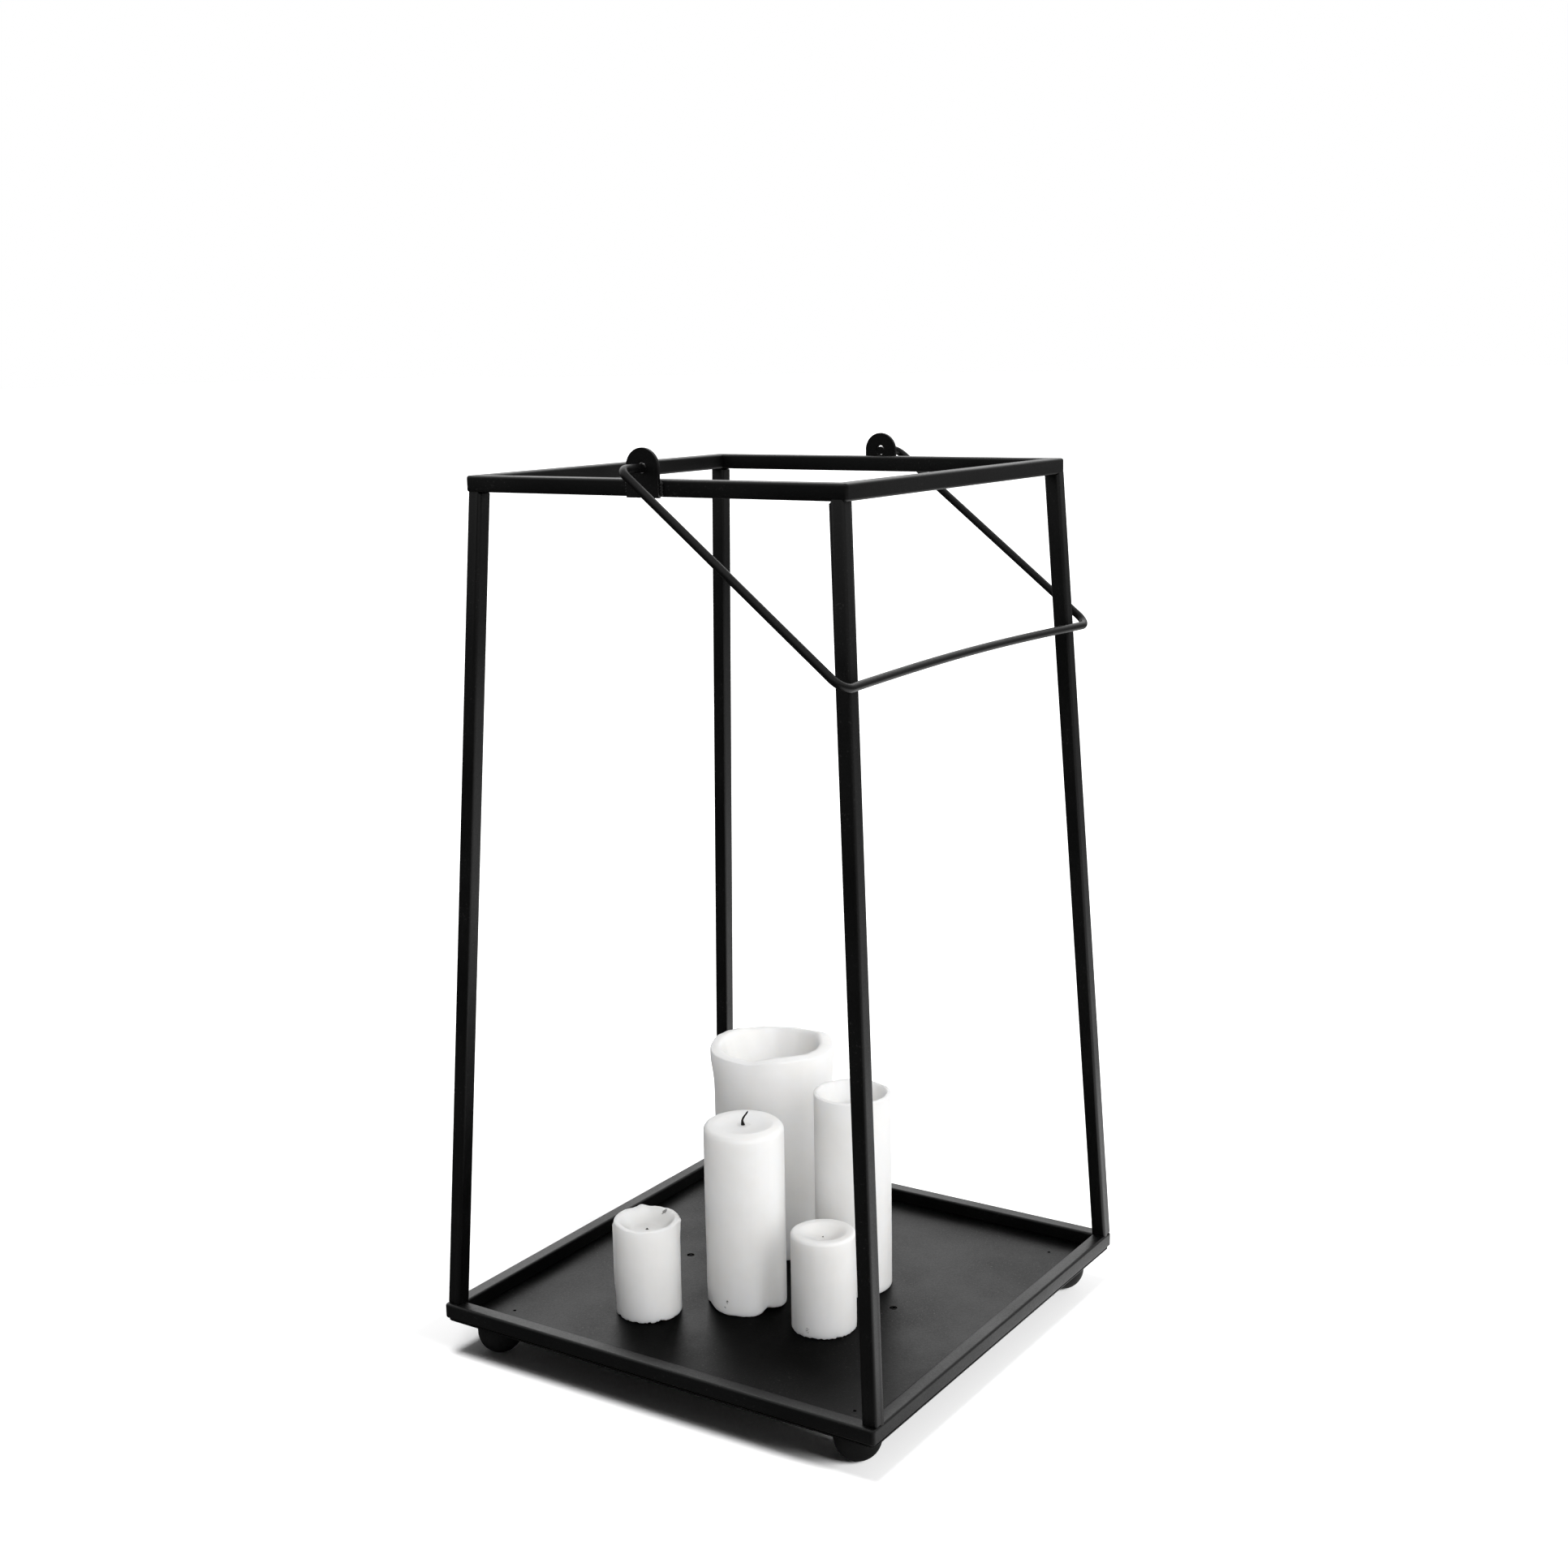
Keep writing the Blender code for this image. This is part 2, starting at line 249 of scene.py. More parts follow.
def rail_mesh(name, side, level, quarter):
    """A tube with mitred ends; its outside runs round the frame's corner as far as the mitre."""
    half = side / 2
    section = rounded_square(TUBE, TUBE_CORNER)

    def spot(across, up, share, inset):
        depth = TUBE / 2 - across * (1 - inset / (TUBE / 2))
        up = up * (1 - inset / (TUBE / 2))
        radius = max(FRAME_CORNER - depth, 0)
        straight = half - max(FRAME_CORNER, depth)
        run = CORNER_RUN + radius * math.pi / 4
        gone = share * run
        if gone <= CORNER_RUN:
            along, out = straight - CORNER_RUN + gone, half - depth
        elif radius > 1e-7:
            angle = (gone - CORNER_RUN) / radius
            centre = half - FRAME_CORNER
            along, out = centre + radius * math.sin(angle), centre + radius * math.cos(angle)
        else:
            along, out = straight, half - depth
        return along, out, up

    def loop(share, sign, inset=0.0):
        points = []
        for across, up in section:
            along, out, rise = spot(across, up, share, inset)
            points.append(Vector((sign * along, -out, level + rise)))
        return points

    loops = [loop(1, -1, SEAM)]
    loops += [loop(share * CORNER_STOP, -1) for share in reversed(CORNER_SHARES)]
    start = loop(0, -1)
    stop = loop(0, 1)
    for share in STRAIGHT_SHARES:
        loops.append([a.lerp(b, share) for a, b in zip(start, stop)])
    loops += [loop(share * CORNER_STOP, 1) for share in CORNER_SHARES]
    loops.append(loop(1, 1, SEAM))
    turn = Matrix.Rotation(math.radians(90 * quarter), 3, "Z")
    loops = [[turn @ point for point in row] for row in loops]
    return loft(name, loops)


def upright_mesh(name, foot, head, low, high, sx, sy):
    """A leaning tube set into the rails by its welds, but open along the inner edges of its head
    and in a short seam at the outer corner of its foot."""
    lean = Vector((head[0] - foot[0], head[1] - foot[1])) / (high - low)
    section = [Vector(p) for p in rounded_square(TUBE, TUBE_CORNER, 7, 6)]

    def ends(p):
        from_inner_x = TUBE / 2 + sx * p.x
        from_inner_y = TUBE / 2 + sy * p.y
        across = 1 - smooth(*HEAD_OPENING_ACROSS, from_inner_x)
        along = (HEAD_OPENING_ALONG_SHARE
                 - HEAD_OPENING_ALONG_SHARE * smooth(*HEAD_OPENING_ALONG, from_inner_y))
        top = high + UPRIGHT_SET_IN - HEAD_OPENING_DEPTH * max(across, along)
        from_outer = math.hypot(TUBE - from_inner_x, TUBE - from_inner_y)
        seam = 1 - smooth(*FOOT_SEAM_REACH, from_outer)
        bottom = low - UPRIGHT_SET_IN + FOOT_SEAM_DEPTH * seam
        return bottom, top

    loops = []
    for share, inset in ((0, UPRIGHT_END_INSET), (0.0004, 0), (0.25, 0), (0.5, 0), (0.75, 0),
                         (0.9996, 0), (1, UPRIGHT_END_INSET)):
        row = []
        for p in section:
            bottom, top = ends(p)
            z = bottom + (top - bottom) * share
            spot = Vector(foot) + p * (1 - inset / (TUBE / 2)) + lean * (z - low)
            row.append(Vector((spot.x, spot.y, z)))
        loops.append(row)
    return loft(name, loops)


def plate_mesh(name, outlines, thickness, edge):
    """A flat plate with holes and softly rounded edges, centred on z = 0."""
    curve = bpy.data.curves.new(name, "CURVE")
    curve.dimensions = "2D"
    curve.fill_mode = "BOTH"
    curve.extrude = thickness / 2 - edge
    curve.bevel_depth = edge
    curve.bevel_resolution = 2
    curve.offset = -edge
    for outline in outlines:
        spline = curve.splines.new("POLY")
        spline.points.add(len(outline) - 1)
        for point, (x, y) in zip(spline.points, outline):
            point.co = (x, y, 0, 1)
        spline.use_cyclic_u = True
    holder = bpy.data.objects.new(name, curve)
    bpy.context.scene.collection.objects.link(holder)
    bpy.context.view_layer.update()
    shape = holder.evaluated_get(bpy.context.evaluated_depsgraph_get())
    mesh = bpy.data.meshes.new_from_object(shape)
    bpy.data.objects.remove(holder, do_unlink=True)
    bpy.data.curves.remove(curve)
    work = bmesh.new()
    work.from_mesh(mesh)
    bmesh.ops.remove_doubles(work, verts=work.verts, dist=0.00001)
    bmesh.ops.recalc_face_normals(work, faces=work.faces)
    for face in work.faces:
        face.smooth = abs(face.normal.z) < 0.999
    work.to_mesh(mesh)
    work.free()
    return mesh


def sweep(name, path, radii, steps=20):
    """A round rod along a path with no twist; radii is a list, or a function of share and angle."""
    ring = None
    loops = []
    last = len(path) - 1
    for i, point in enumerate(path):
        ahead = (path[min(i + 1, last)] - path[max(i - 1, 0)]).normalized()
        if ring is None:
            ring = ahead.orthogonal().normalized()
        ring = (ring - ahead * ring.dot(ahead)).normalized()
        side = ahead.cross(ring)
        row = []
        for step in range(steps):
            angle = 2 * math.pi * step / steps
            radius = radii[i] if not callable(radii) else radii(i / last, angle)
            row.append(point + (ring * math.cos(angle) + side * math.sin(angle)) * radius)
        loops.append(row)
    return loft(name, loops, 60)


def bend(before, corner, after, radius, steps):
    """The points of a round bend of the given radius in place of a sharp corner."""
    back = (before - corner).normalized()
    onward = (after - corner).normalized()
    half = back.angle(onward) / 2
    centre = corner + (back + onward).normalized() * radius / math.sin(half)
    start = corner + back * radius / math.tan(half)
    end = corner + onward * radius / math.tan(half)
    axis = (start - centre).cross(end - centre)
    sweep_angle = math.pi - 2 * half
    points = []
    for step in range(steps + 1):
        turn = Matrix.Rotation(sweep_angle * step / steps, 3, axis)
        points.append(centre + turn @ (start - centre))
    return points


def bail_path(eye):
    """The middle line of the wire, with its ends at the given distance from the centre."""
    reach = Vector((math.cos(BAIL_DROP), 0, -math.sin(BAIL_DROP)))
    across = Vector((0, 1, 0))
    end = -across * eye
    shoulder = -across * BAIL_HALF_TOP
    corner = reach * BAIL_REACH - across * BAIL_HALF_BAR
    bar_mid = reach * (BAIL_REACH - BAIL_BOW)
    eye_bend = bend(end, shoulder, corner, BAIL_EYE_BEND, 16)
    bar_bend = bend(shoulder, corner, bar_mid, BAIL_CORNER_BEND, 20)
    half = [end.lerp(eye_bend[0], step / 4) for step in range(4)] + eye_bend
    for step in range(1, 14):
        half.append(eye_bend[-1].lerp(bar_bend[0], step / 14))
    half += bar_bend
    last = half[-1]
    for step in range(1, 20):
        share = step / 20
        rise = (last - reach * BAIL_REACH).dot(-reach)
        bow = rise + (BAIL_BOW - rise) * math.sin(share * math.pi / 2)
        half.append(reach * (BAIL_REACH - bow) + across * last.y * (1 - share))
    path = half + [bar_mid] + [Vector((p.x, -p.y, p.z)) for p in reversed(half)]
    for spot in path:
        side = (1 - min(spot.dot(reach) / BAIL_REACH, 1)) * spot.y / eye
        spot.z -= side * LUG_BACK_SET / 2
        spot.x -= side * LUG_SKEW
    return path


def bead_mesh(name, start, end, radius, ripples):
    """A weld bead: a lumpy rod that tapers away at both ends."""
    path = [start.lerp(end, step / 40) for step in range(41)]

    def size(share, angle):
        taper = max(1 - abs(2 * share - 1) ** 6, 0.02) ** 0.5
        scale = 1 + 0.10 * math.sin(share * ripples * 2 * math.pi)
        spot = Vector((share * 5, math.cos(angle), math.sin(angle)))
        return radius * taper * (scale + 0.15 * noise.noise(spot * 1.7 + start * 40))

    return sweep(name, path, size, 16)


# Surfaces

def new_material(name):
    material = bpy.data.materials.new(name)
    material.use_nodes = True
    nodes = material.node_tree.nodes
    return material, nodes, material.node_tree.links, nodes["Principled BSDF"]


def add_noise(nodes, links, coordinates, scale, detail, rough=0.5, stretch=None):
    source = coordinates
    if stretch:
        mapping = nodes.new("ShaderNodeMapping")
        mapping.inputs["Scale"].default_value = stretch
        links.new(source, mapping.inputs["Vector"])
        source = mapping.outputs["Vector"]
    texture = nodes.new("ShaderNodeTexNoise")
    texture.inputs["Scale"].default_value = scale
    texture.inputs["Detail"].default_value = detail
    texture.inputs["Roughness"].default_value = rough
    links.new(source, texture.inputs["Vector"])
    return texture.outputs["Fac"]


def ranged(nodes, links, value, low, high, to_low, to_high):
    node = nodes.new("ShaderNodeMapRange")
    node.interpolation_type = "SMOOTHSTEP"
    for index, number in enumerate((low, high, to_low, to_high)):
        node.inputs[index + 1].default_value = number
    links.new(value, node.inputs["Value"])
    return node.outputs["Result"]


def mixed(nodes, links, share, first, second):
    node = nodes.new("ShaderNodeMix")
    node.data_type = "RGBA"
    sockets = [s for s in node.inputs if s.type == "RGBA"]
    for socket, value in zip(sockets, (first, second)):
        if isinstance(value, tuple):
            socket.default_value = (*value, 1)
        else:
            links.new(value, socket)
    links.new(share, node.inputs["Factor"])
    return [s for s in node.outputs if s.type == "RGBA"][0]


def maths(nodes, links, operation, first, second):
    node = nodes.new("ShaderNodeMath")
    node.operation = operation
    for socket, value in zip(node.inputs, (first, second)):
        if isinstance(value, (int, float)):
            socket.default_value = value
        else:
            links.new(value, socket)
    return node.outputs[0]


def bump(nodes, links, height, distance, strength, under=None):
    node = nodes.new("ShaderNodeBump")
    node.inputs["Strength"].default_value = strength
    node.inputs["Distance"].default_value = distance
    links.new(height, node.inputs["Height"])
    if under:
        links.new(under, node.inputs["Normal"])
    return node.outputs["Normal"]


def coated_steel(name, dark, light, dust, rough, ior):
    """Black powder coat: fine orange peel, uneven gloss and a little dust."""
    material, nodes, links, shader = new_material(name)
    place = nodes.new("ShaderNodeTexCoord").outputs["Object"]
    broad = add_noise(nodes, links, place, 14, 4)
    grain = add_noise(nodes, links, place, 900, 3, 0.6)
    peel = add_noise(nodes, links, place, 320, 2)
    specks = add_noise(nodes, links, place, 620, 1)
    coat = mixed(nodes, links, ranged(nodes, links, broad, 0.3, 0.7, 0, 1), dark, light)
    spread = ranged(nodes, links, specks, 0.66, 0.74, 0, 1)
    patch = ranged(nodes, links, broad, 0.42, 0.62, 0.1, 1)
    amount = maths(nodes, links, "MULTIPLY", maths(nodes, links, "MULTIPLY", spread, patch), 0.6)
    colour = mixed(nodes, links, amount, coat, dust)
    links.new(colour, shader.inputs["Base Color"])
    gloss = maths(nodes, links, "ADD", ranged(nodes, links, broad, 0.3, 0.7, rough, rough + 0.1),
                  ranged(nodes, links, grain, 0.35, 0.65, -0.03, 0.05))
    links.new(gloss, shader.inputs["Roughness"])
    shader.inputs["IOR"].default_value = ior
    fine = bump(nodes, links, grain, 0.00012, 0.35)
    links.new(bump(nodes, links, peel, 0.0002, 0.25, fine), shader.inputs["Normal"])
    return material


def moulded_rubber():
    material, nodes, links, shader = new_material("black_rubber_moulded")
    place = nodes.new("ShaderNodeTexCoord").outputs["Object"]
    broad = add_noise(nodes, links, place, 60, 4)
    grain = add_noise(nodes, links, place, 1300, 2)
    colour = mixed(nodes, links, ranged(nodes, links, broad, 0.3, 0.7, 0, 1),
                   (0.0022, 0.0022, 0.0022), (0.0050, 0.0049, 0.0048))
    links.new(colour, shader.inputs["Base Color"])
    links.new(ranged(nodes, links, broad, 0.3, 0.7, 0.62, 0.8), shader.inputs["Roughness"])
    links.new(bump(nodes, links, grain, 0.0001, 0.5), shader.inputs["Normal"])
    return material


def near(nodes, links, place, centre, size):
    """1 at a spot and 0 from the given distance on."""
    mapping = nodes.new("ShaderNodeMapping")
    mapping.vector_type = "TEXTURE"
    mapping.inputs["Location"].default_value = centre
    mapping.inputs["Scale"].default_value = (size, size, size)
    links.new(place, mapping.inputs["Vector"])
    length = nodes.new("ShaderNodeVectorMath")
    length.operation = "LENGTH"
    links.new(mapping.outputs["Vector"], length.inputs[0])
    return ranged(nodes, links, length.outputs["Value"], 0, 1, 1, 0)


def candle_wax(name, marks):
    """White wax that lets light in a little; marks are dark spots, mostly soot."""
    material, nodes, links, shader = new_material(name)
    place = nodes.new("ShaderNodeTexCoord").outputs["Object"]
    broad = add_noise(nodes, links, place, 22, 4)
    streak = add_noise(nodes, links, place, 60, 3, 0.5, (1, 1, 0.12))
    grain = add_noise(nodes, links, place, 420, 3)
    tone = mixed(nodes, links, ranged(nodes, links, broad, 0.3, 0.7, 0, 1),
                 (0.90, 0.895, 0.88), (0.955, 0.95, 0.94))
    colour = mixed(nodes, links, ranged(nodes, links, streak, 0.45, 0.8, 0, 0.35),
                   tone, (0.86, 0.85, 0.83))
    for centre, size, strength, fineness, fullness in marks:
        field = maths(nodes, links, "MULTIPLY", near(nodes, links, place, centre, size), fullness)
        break_up = add_noise(nodes, links, place, fineness, 3, 0.7)
        level = maths(nodes, links, "ADD", field, maths(nodes, links, "MULTIPLY", break_up, 0.9))
        amount = ranged(nodes, links, level, 0.95, 1.12, 0, strength)
        colour = mixed(nodes, links, amount, colour, (0.03, 0.027, 0.025))
    links.new(ranged(nodes, links, broad, 0.3, 0.7, 0.36, 0.52), shader.inputs["Roughness"])
    shader.inputs["IOR"].default_value = 1.44
    shader.inputs["Subsurface Weight"].default_value = 0.8
    shader.inputs["Subsurface Radius"].default_value = (1.0, 0.95, 0.9)
    shader.inputs["Subsurface Scale"].default_value = 0.009
    fine = bump(nodes, links, grain, 0.0002, 0.12)
    links.new(bump(nodes, links, streak, 0.0008, 0.18, fine), shader.inputs["Normal"])
    # Mirror rays find the wax nearly black, so the tray hardly mirrors the candles
    path = nodes.new("ShaderNodeLightPath")
    unseen = maths(nodes, links, "MULTIPLY", path.outputs["Is Glossy Ray"], MIRRORED_WAX_DARKENING)
    links.new(mixed(nodes, links, unseen, colour, (0, 0, 0)), shader.inputs["Base Color"])
    return material


def burnt_wick():
    material, nodes, links, shader = new_material("burnt_wick")
    place = nodes.new("ShaderNodeTexCoord").outputs["Object"]
    lumps = add_noise(nodes, links, place, 700, 3)
    wave = nodes.new("ShaderNodeTexWave")
    wave.wave_type = "BANDS"
    wave.bands_direction = "DIAGONAL"
    wave.inputs["Scale"].default_value = 260
    wave.inputs["Distortion"].default_value = 2
    links.new(place, wave.inputs["Vector"])
    colour = mixed(nodes, links, ranged(nodes, links, lumps, 0.35, 0.7, 0, 1),
                   (0.006, 0.006, 0.006), (0.035, 0.030, 0.027))
    links.new(colour, shader.inputs["Base Color"])
    links.new(ranged(nodes, links, lumps, 0.3, 0.7, 0.8, 0.95), shader.inputs["Roughness"])
    links.new(bump(nodes, links, wave.outputs["Fac"], 0.0003, 0.8), shader.inputs["Normal"])
    return material


# Candles. Each shape_ function takes a ring's place and gives it the unevenness of that candle:
# an amount in metres, times a lobe (direction, width) or a ripple.

def lobe(angle, centre_deg, width_deg):
    """A soft bump round a direction, in degrees from the candle's front towards its right."""
    away = (angle - FRONT - math.radians(centre_deg) + math.pi) % (2 * math.pi) - math.pi
    return math.exp(-(away / math.radians(width_deg)) ** 2)


def ripple(seed, angle, height=0.0, turns=1.0, rate=1.0):
    spot = Vector((math.cos(angle) * turns, math.sin(angle) * turns, height * rate))
    return noise.noise(spot + Vector((seed, 0, 0)) * 7.3)


def candle_mesh(name, seed, radius, height, dish, inner, shoulder, steep, shape):
    """Rings from the middle of the foot, up the side, over the rim and down to the wick."""
    curve = CANDLE_FOOT_ROUND
    rings = []
    for share in (0.2, 0.5, 0.8):
        rings.append(("foot", (radius - curve) * share, 0.0, 0.0))
    for across, up in arc(radius - curve, curve, curve, 270, 360, 5):
        rings.append(("edge", across, up, 0.0))
    rows = max(24, int(height / CANDLE_ROW_HEIGHT))
    for row in range(1, rows):
        rings.append(("side", radius, curve + (height - shoulder - curve) * row / rows, row / rows))
    for across, up in arc(radius - shoulder, height - shoulder, shoulder, 0, 90, 8):
        rings.append(("lip", across, up, 1.0))
    lip = radius - shoulder
    for row in range(1, 5):
        rings.append(("rim", lip + (inner - lip) * row / 4, height, row / 4))
    for row in range(1, 22):
        share = row / 22
        across = inner * (1 - share) ** 0.85
        fall = dish * smooth(0, 1, min(share * steep, 1)) ** 0.8
        rings.append(("well", across, height - fall, share))
    loops = []
    for zone, across, up, share in rings:
        loop = []
        for step in range(CANDLE_RING_STEPS):
            angle = 2 * math.pi * step / CANDLE_RING_STEPS
            r, z = shape(zone, angle, across, up, share, seed)
            loop.append(Vector((r * math.cos(angle), r * math.sin(angle), z)))
        loops.append(loop)
    return loft(name, loops, 75)


def plain_waves(zone, angle, across, up, seed, size):
    """Slight unevenness that every cast candle has in its side."""
    if zone in ("side", "lip", "edge"):
        across += (size * ripple(seed, angle, up, 1.3, 14)
                   + 0.4 * size * ripple(seed + 3, angle, up, 4, 45))
    return across, up


def ragged_foot(zone, angle, across, up, seed, size, radius):
    """A foot edge that is crumbled here and there."""
    if zone in ("edge", "foot") and across > 0.6 * radius:
        chip = max(ripple(seed + 8, angle, 0, 5), 0) + 0.7 * max(ripple(seed + 9, angle, 0, 13), 0)
        up += size * chip * smooth(0.6 * radius, radius, across)
    return up


def shape_large(zone, angle, across, up, share, seed):
    across, up = plain_waves(zone, angle, across, up, seed, 0.00035)
    top = smooth(0.136, 0.166, up)
    flare = (0.0020 * lobe(angle, -80, 36) + 0.0022 * lobe(angle, -135, 30)
             + 0.0014 * lobe(angle, 95, 35) + 0.0006 * ripple(seed + 4, angle, 0, 3.2))
    crest = (0.0007 * ripple(seed + 5, angle, 0, 2.6) + 0.0005 * ripple(seed + 6, angle, 0, 6)
             + 0.0024 * lobe(angle, 12, 30) - 0.0009 * lobe(angle, -22, 10)
             + 0.0036 * lobe(angle, 112, 24) + 0.0030 * lobe(angle, -128, 34)
             + 0.0010 * lobe(angle, 60, 20) + 0.0010 * lobe(angle, 175, 30))
    thick = (0.0036 * lobe(angle, 75, 55) + 0.0022 * lobe(angle, 15, 24)
             - 0.0008 * lobe(angle, -70, 50) + 0.0012 * lobe(angle, 160, 30)
             + 0.0006 * ripple(seed + 2, angle, 0, 5))
    if zone in ("side", "lip"):
        across += flare * top + 0.0009 * top * ripple(seed + 1, angle, up, 2.2, 60)
    if zone == "lip":
        up += (crest - 0.0012) * smooth(0.1685, 0.1715, up)
    if zone == "rim":
        across += flare * (1 - share) - thick * share
        up += crest - 0.0012 * (1 - share) ** 2
    if zone == "well":
        fade = 1 - smooth(0, 0.6, share)
        across -= thick * fade
        across += 0.0009 * fade * ripple(seed + 7, angle, up, 3.0, 70)
        up += crest * (1 - smooth(0, 0.25, share))
    return across, up


def shape_rear(zone, angle, across, up, share, seed):
    across, up = plain_waves(zone, angle, across, up, seed, 0.00025)
    crest = 0.0007 * ripple(seed + 5, angle, 0, 2.4) + 0.0004 * ripple(seed + 6, angle, 0, 6)
    wander = 0.0007 * ripple(seed + 2, angle, 0, 3)
    if zone == "lip":
        up += (crest - 0.0005) * smooth(0.160, 0.162, up)
    if zone == "rim":
        up += crest - 0.0005 * (1 - share)
        across += wander * share
    if zone == "well":
        fade = 1 - smooth(0, 0.6, share)
        up += crest * fade
        across += wander * fade
    return across, up


def shape_middle(zone, angle, across, up, share, seed):
    across, up = plain_waves(zone, angle, across, up, seed, 0.00030)
    droop = 0.0022 * lobe(angle, 0, 75) + 0.0010 * lobe(angle, 95, 40)
    if zone == "side":
        up -= droop * smooth(0.120, 0.148, up)
    if zone == "lip":
        up -= droop
    if zone == "rim":
        up -= droop * (1 - 0.55 * share)
    if zone == "well":
        up -= 0.45 * droop * (1 - smooth(0, 0.8, share))
    low_down = 1 - smooth(0.006, 0.062, up)
    if zone in ("side", "edge"):
        across -= 0.0040 * lobe(angle, 36, 13) * low_down
        across += (0.0012 * lobe(angle, 64, 13) + 0.0006 * lobe(angle, 5, 13)) * low_down
        across -= 0.0012 * lobe(angle, -75, 14) * (1 - smooth(0.004, 0.016, up))
    if zone in ("edge", "foot") and across > 0.016:
        lift = (0.0034 * lobe(angle, 37, 12) + 0.0016 * lobe(angle, 64, 14)
                + 0.0030 * lobe(angle, -66, 17))
        up += lift * smooth(0.016, 0.0316, across)
    return across, ragged_foot(zone, angle, across, up, seed, 0.0006, 0.0316)


def shape_small_left(zone, angle, across, up, share, seed):
    across, up = plain_waves(zone, angle, across, up, seed, 0.00030)
    crest = 0.0006 * ripple(seed + 5, angle, 0, 2.8) + 0.0003 * ripple(seed + 6, angle, 0, 7)
    nub = 0.0016 * lobe(angle, -167, 8) + 0.0008 * lobe(angle, 84, 7) - 0.0008 * lobe(angle, 0, 60)
    if zone == "lip":
        up += (crest + nub) * smooth(0.0745, 0.0764, up)
        across += 0.0012 * lobe(angle, 84, 7)
    if zone == "rim":
        up += crest + nub
        across += 0.0012 * lobe(angle, 84, 7) * (1 - share)
    if zone == "well":
        up += (crest + nub) * (1 - smooth(0, 0.3, share))
    if zone == "side":
        across += 0.0011 * lobe(angle, -84, 4.5) * smooth(0.018, 0.034, up)
        across += 0.0006 * lobe(angle, -82, 7) * math.exp(-((up - 0.022) / 0.006) ** 2)
        across += 0.0007 * lobe(angle, 86, 6) * smooth(0.058, 0.072, up)
    return across, ragged_foot(zone, angle, across, up, seed, 0.0024, 0.0257)


def shape_small_right(zone, angle, across, up, share, seed):
    across, up = plain_waves(zone, angle, across, up, seed, 0.00030)
    if zone in ("rim", "well"):
        up += 0.0004 * ripple(seed + 5, angle, across, 1.5, 60)
    if zone in ("edge", "side") and up < 0.005:
        across += 0.0005 * ripple(seed + 7, angle, 0, 9) * (1 - smooth(0.001, 0.005, up))
    return across, ragged_foot(zone, angle, across, up, seed, 0.0020, 0.0252)


def side_point(radius, degrees, z):
    angle = FRONT + math.radians(degrees)
    return (radius * math.cos(angle), radius * math.sin(angle), z)


# Each dark mark: centre, size, strength, fineness, fullness. Mostly soot; the middle candle's first
# one only darkens its dish faintly
CANDLES = {
    "large": dict(
        dish=0.026, inner_share=0.875, shoulder=0.0013, steep=3.0, shape=shape_large,
        marks=[((0, 0, 0.146), 0.007, 0.8, 260, 1.0)],
        wick_height=0.007, lean=0.001, thick=0.0010),
    "rear": dict(
        dish=0.0165, inner_share=0.925, shoulder=0.0010, steep=2.6, shape=shape_rear,
        marks=[((0, 0, 0.146), 0.005, 0.8, 260, 1.0)],
        wick_height=0.005, lean=0.0008, thick=0.0010),
    "middle": dict(
        dish=0.0020, inner_share=0.74, shoulder=0.0046, steep=1.4, shape=shape_middle,
        # A faint broad darkening over the middle of the dish, round the wick
        marks=[((0, 0, 0.1465), 0.0150, 0.10, 90, 0.9),
               ((0, 0, 0.1465), 0.0040, 0.6, 500, 0.9),
               (side_point(0.0316, -29, 0.0115), 0.0055, 0.8, 900, 0.62),
               (side_point(0.0316, -33, 0.0060), 0.0040, 0.8, 900, 0.58)],
        wick_height=0.0115, lean=0.0036, thick=0.0010),
    "small_left": dict(
        dish=0.0090, inner_share=0.885, shoulder=0.0013, steep=1.7, shape=shape_small_left,
        marks=[(side_point(0.0215, 140, 0.0745), 0.0075, 0.75, 430, 0.74),
               (side_point(0.0195, 146, 0.0705), 0.0060, 0.60, 600, 0.68),
               ((0, 0, 0.0674), 0.0028, 0.95, 300, 1.1)],
        wick_height=0.0010, lean=0.0002, thick=0.0008),
    "small_right": dict(
        dish=0.0048, inner_share=0.74, shoulder=0.0026, steep=1.15, shape=shape_small_right,
        marks=[(side_point(0.0252, -32, 0.0065), 0.0075, 0.7, 1300, 0.60),
               ((0, 0, 0.0730), 0.0016, 0.80, 300, 1.1)],
        wick_height=0.0007, lean=0.0001, thick=0.0006),
}


def add_candle(seed, name, dish, inner_share, shoulder, steep, shape, marks,
               wick_height, lean, thick):
    """A candle in its CAD box, and its wick; lean is how far the wick's tip is off its foot."""
    body = "candle_" + name
    low, high = (Vector(corner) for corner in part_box(body))
    radius = (high.x - low.x) / 2
    height = high.z - low.z
    foot = Vector(((low.x + high.x) / 2, (low.y + high.y) / 2, low.z - CANDLE_SINK))
    mesh = candle_mesh(body + "_wax", seed, radius, height, dish, radius * inner_share,
                       shoulder, steep, shape)
    piece(body + "_wax", mesh, candle_wax("wax_" + name, marks), body, "wax", body, location=foot)
    floor = height - dish
    right = Vector((math.cos(FRONT + math.pi / 2), math.sin(FRONT + math.pi / 2), 0))
    path = []
    radii = []
    count = 30
    for step in range(count + 1):
        share = step / count
        up = floor - WICK_ROOT + (wick_height + WICK_ROOT) * share
        sway = lean * smooth(0.35, 1.1, share) * 1.1 - 0.25 * lean * math.sin(share * math.pi)
        path.append(Vector((0, 0, up)) + right * sway)
        root = 0.6 * thick * math.exp(-((share - 0.15) / 0.16) ** 2)
        tip = math.sqrt(max(1 - smooth(0.88, 1.0, share) ** 2, 0.03))
        radii.append((thick * (1 - 0.42 * share) + root) * tip)
    mesh = sweep("wick_" + name + "_burnt", path, radii, 14)
    piece("wick_" + name + "_burnt", mesh, wick_black, body, "cotton", "wick_" + name,
          location=foot)


# Metalwork

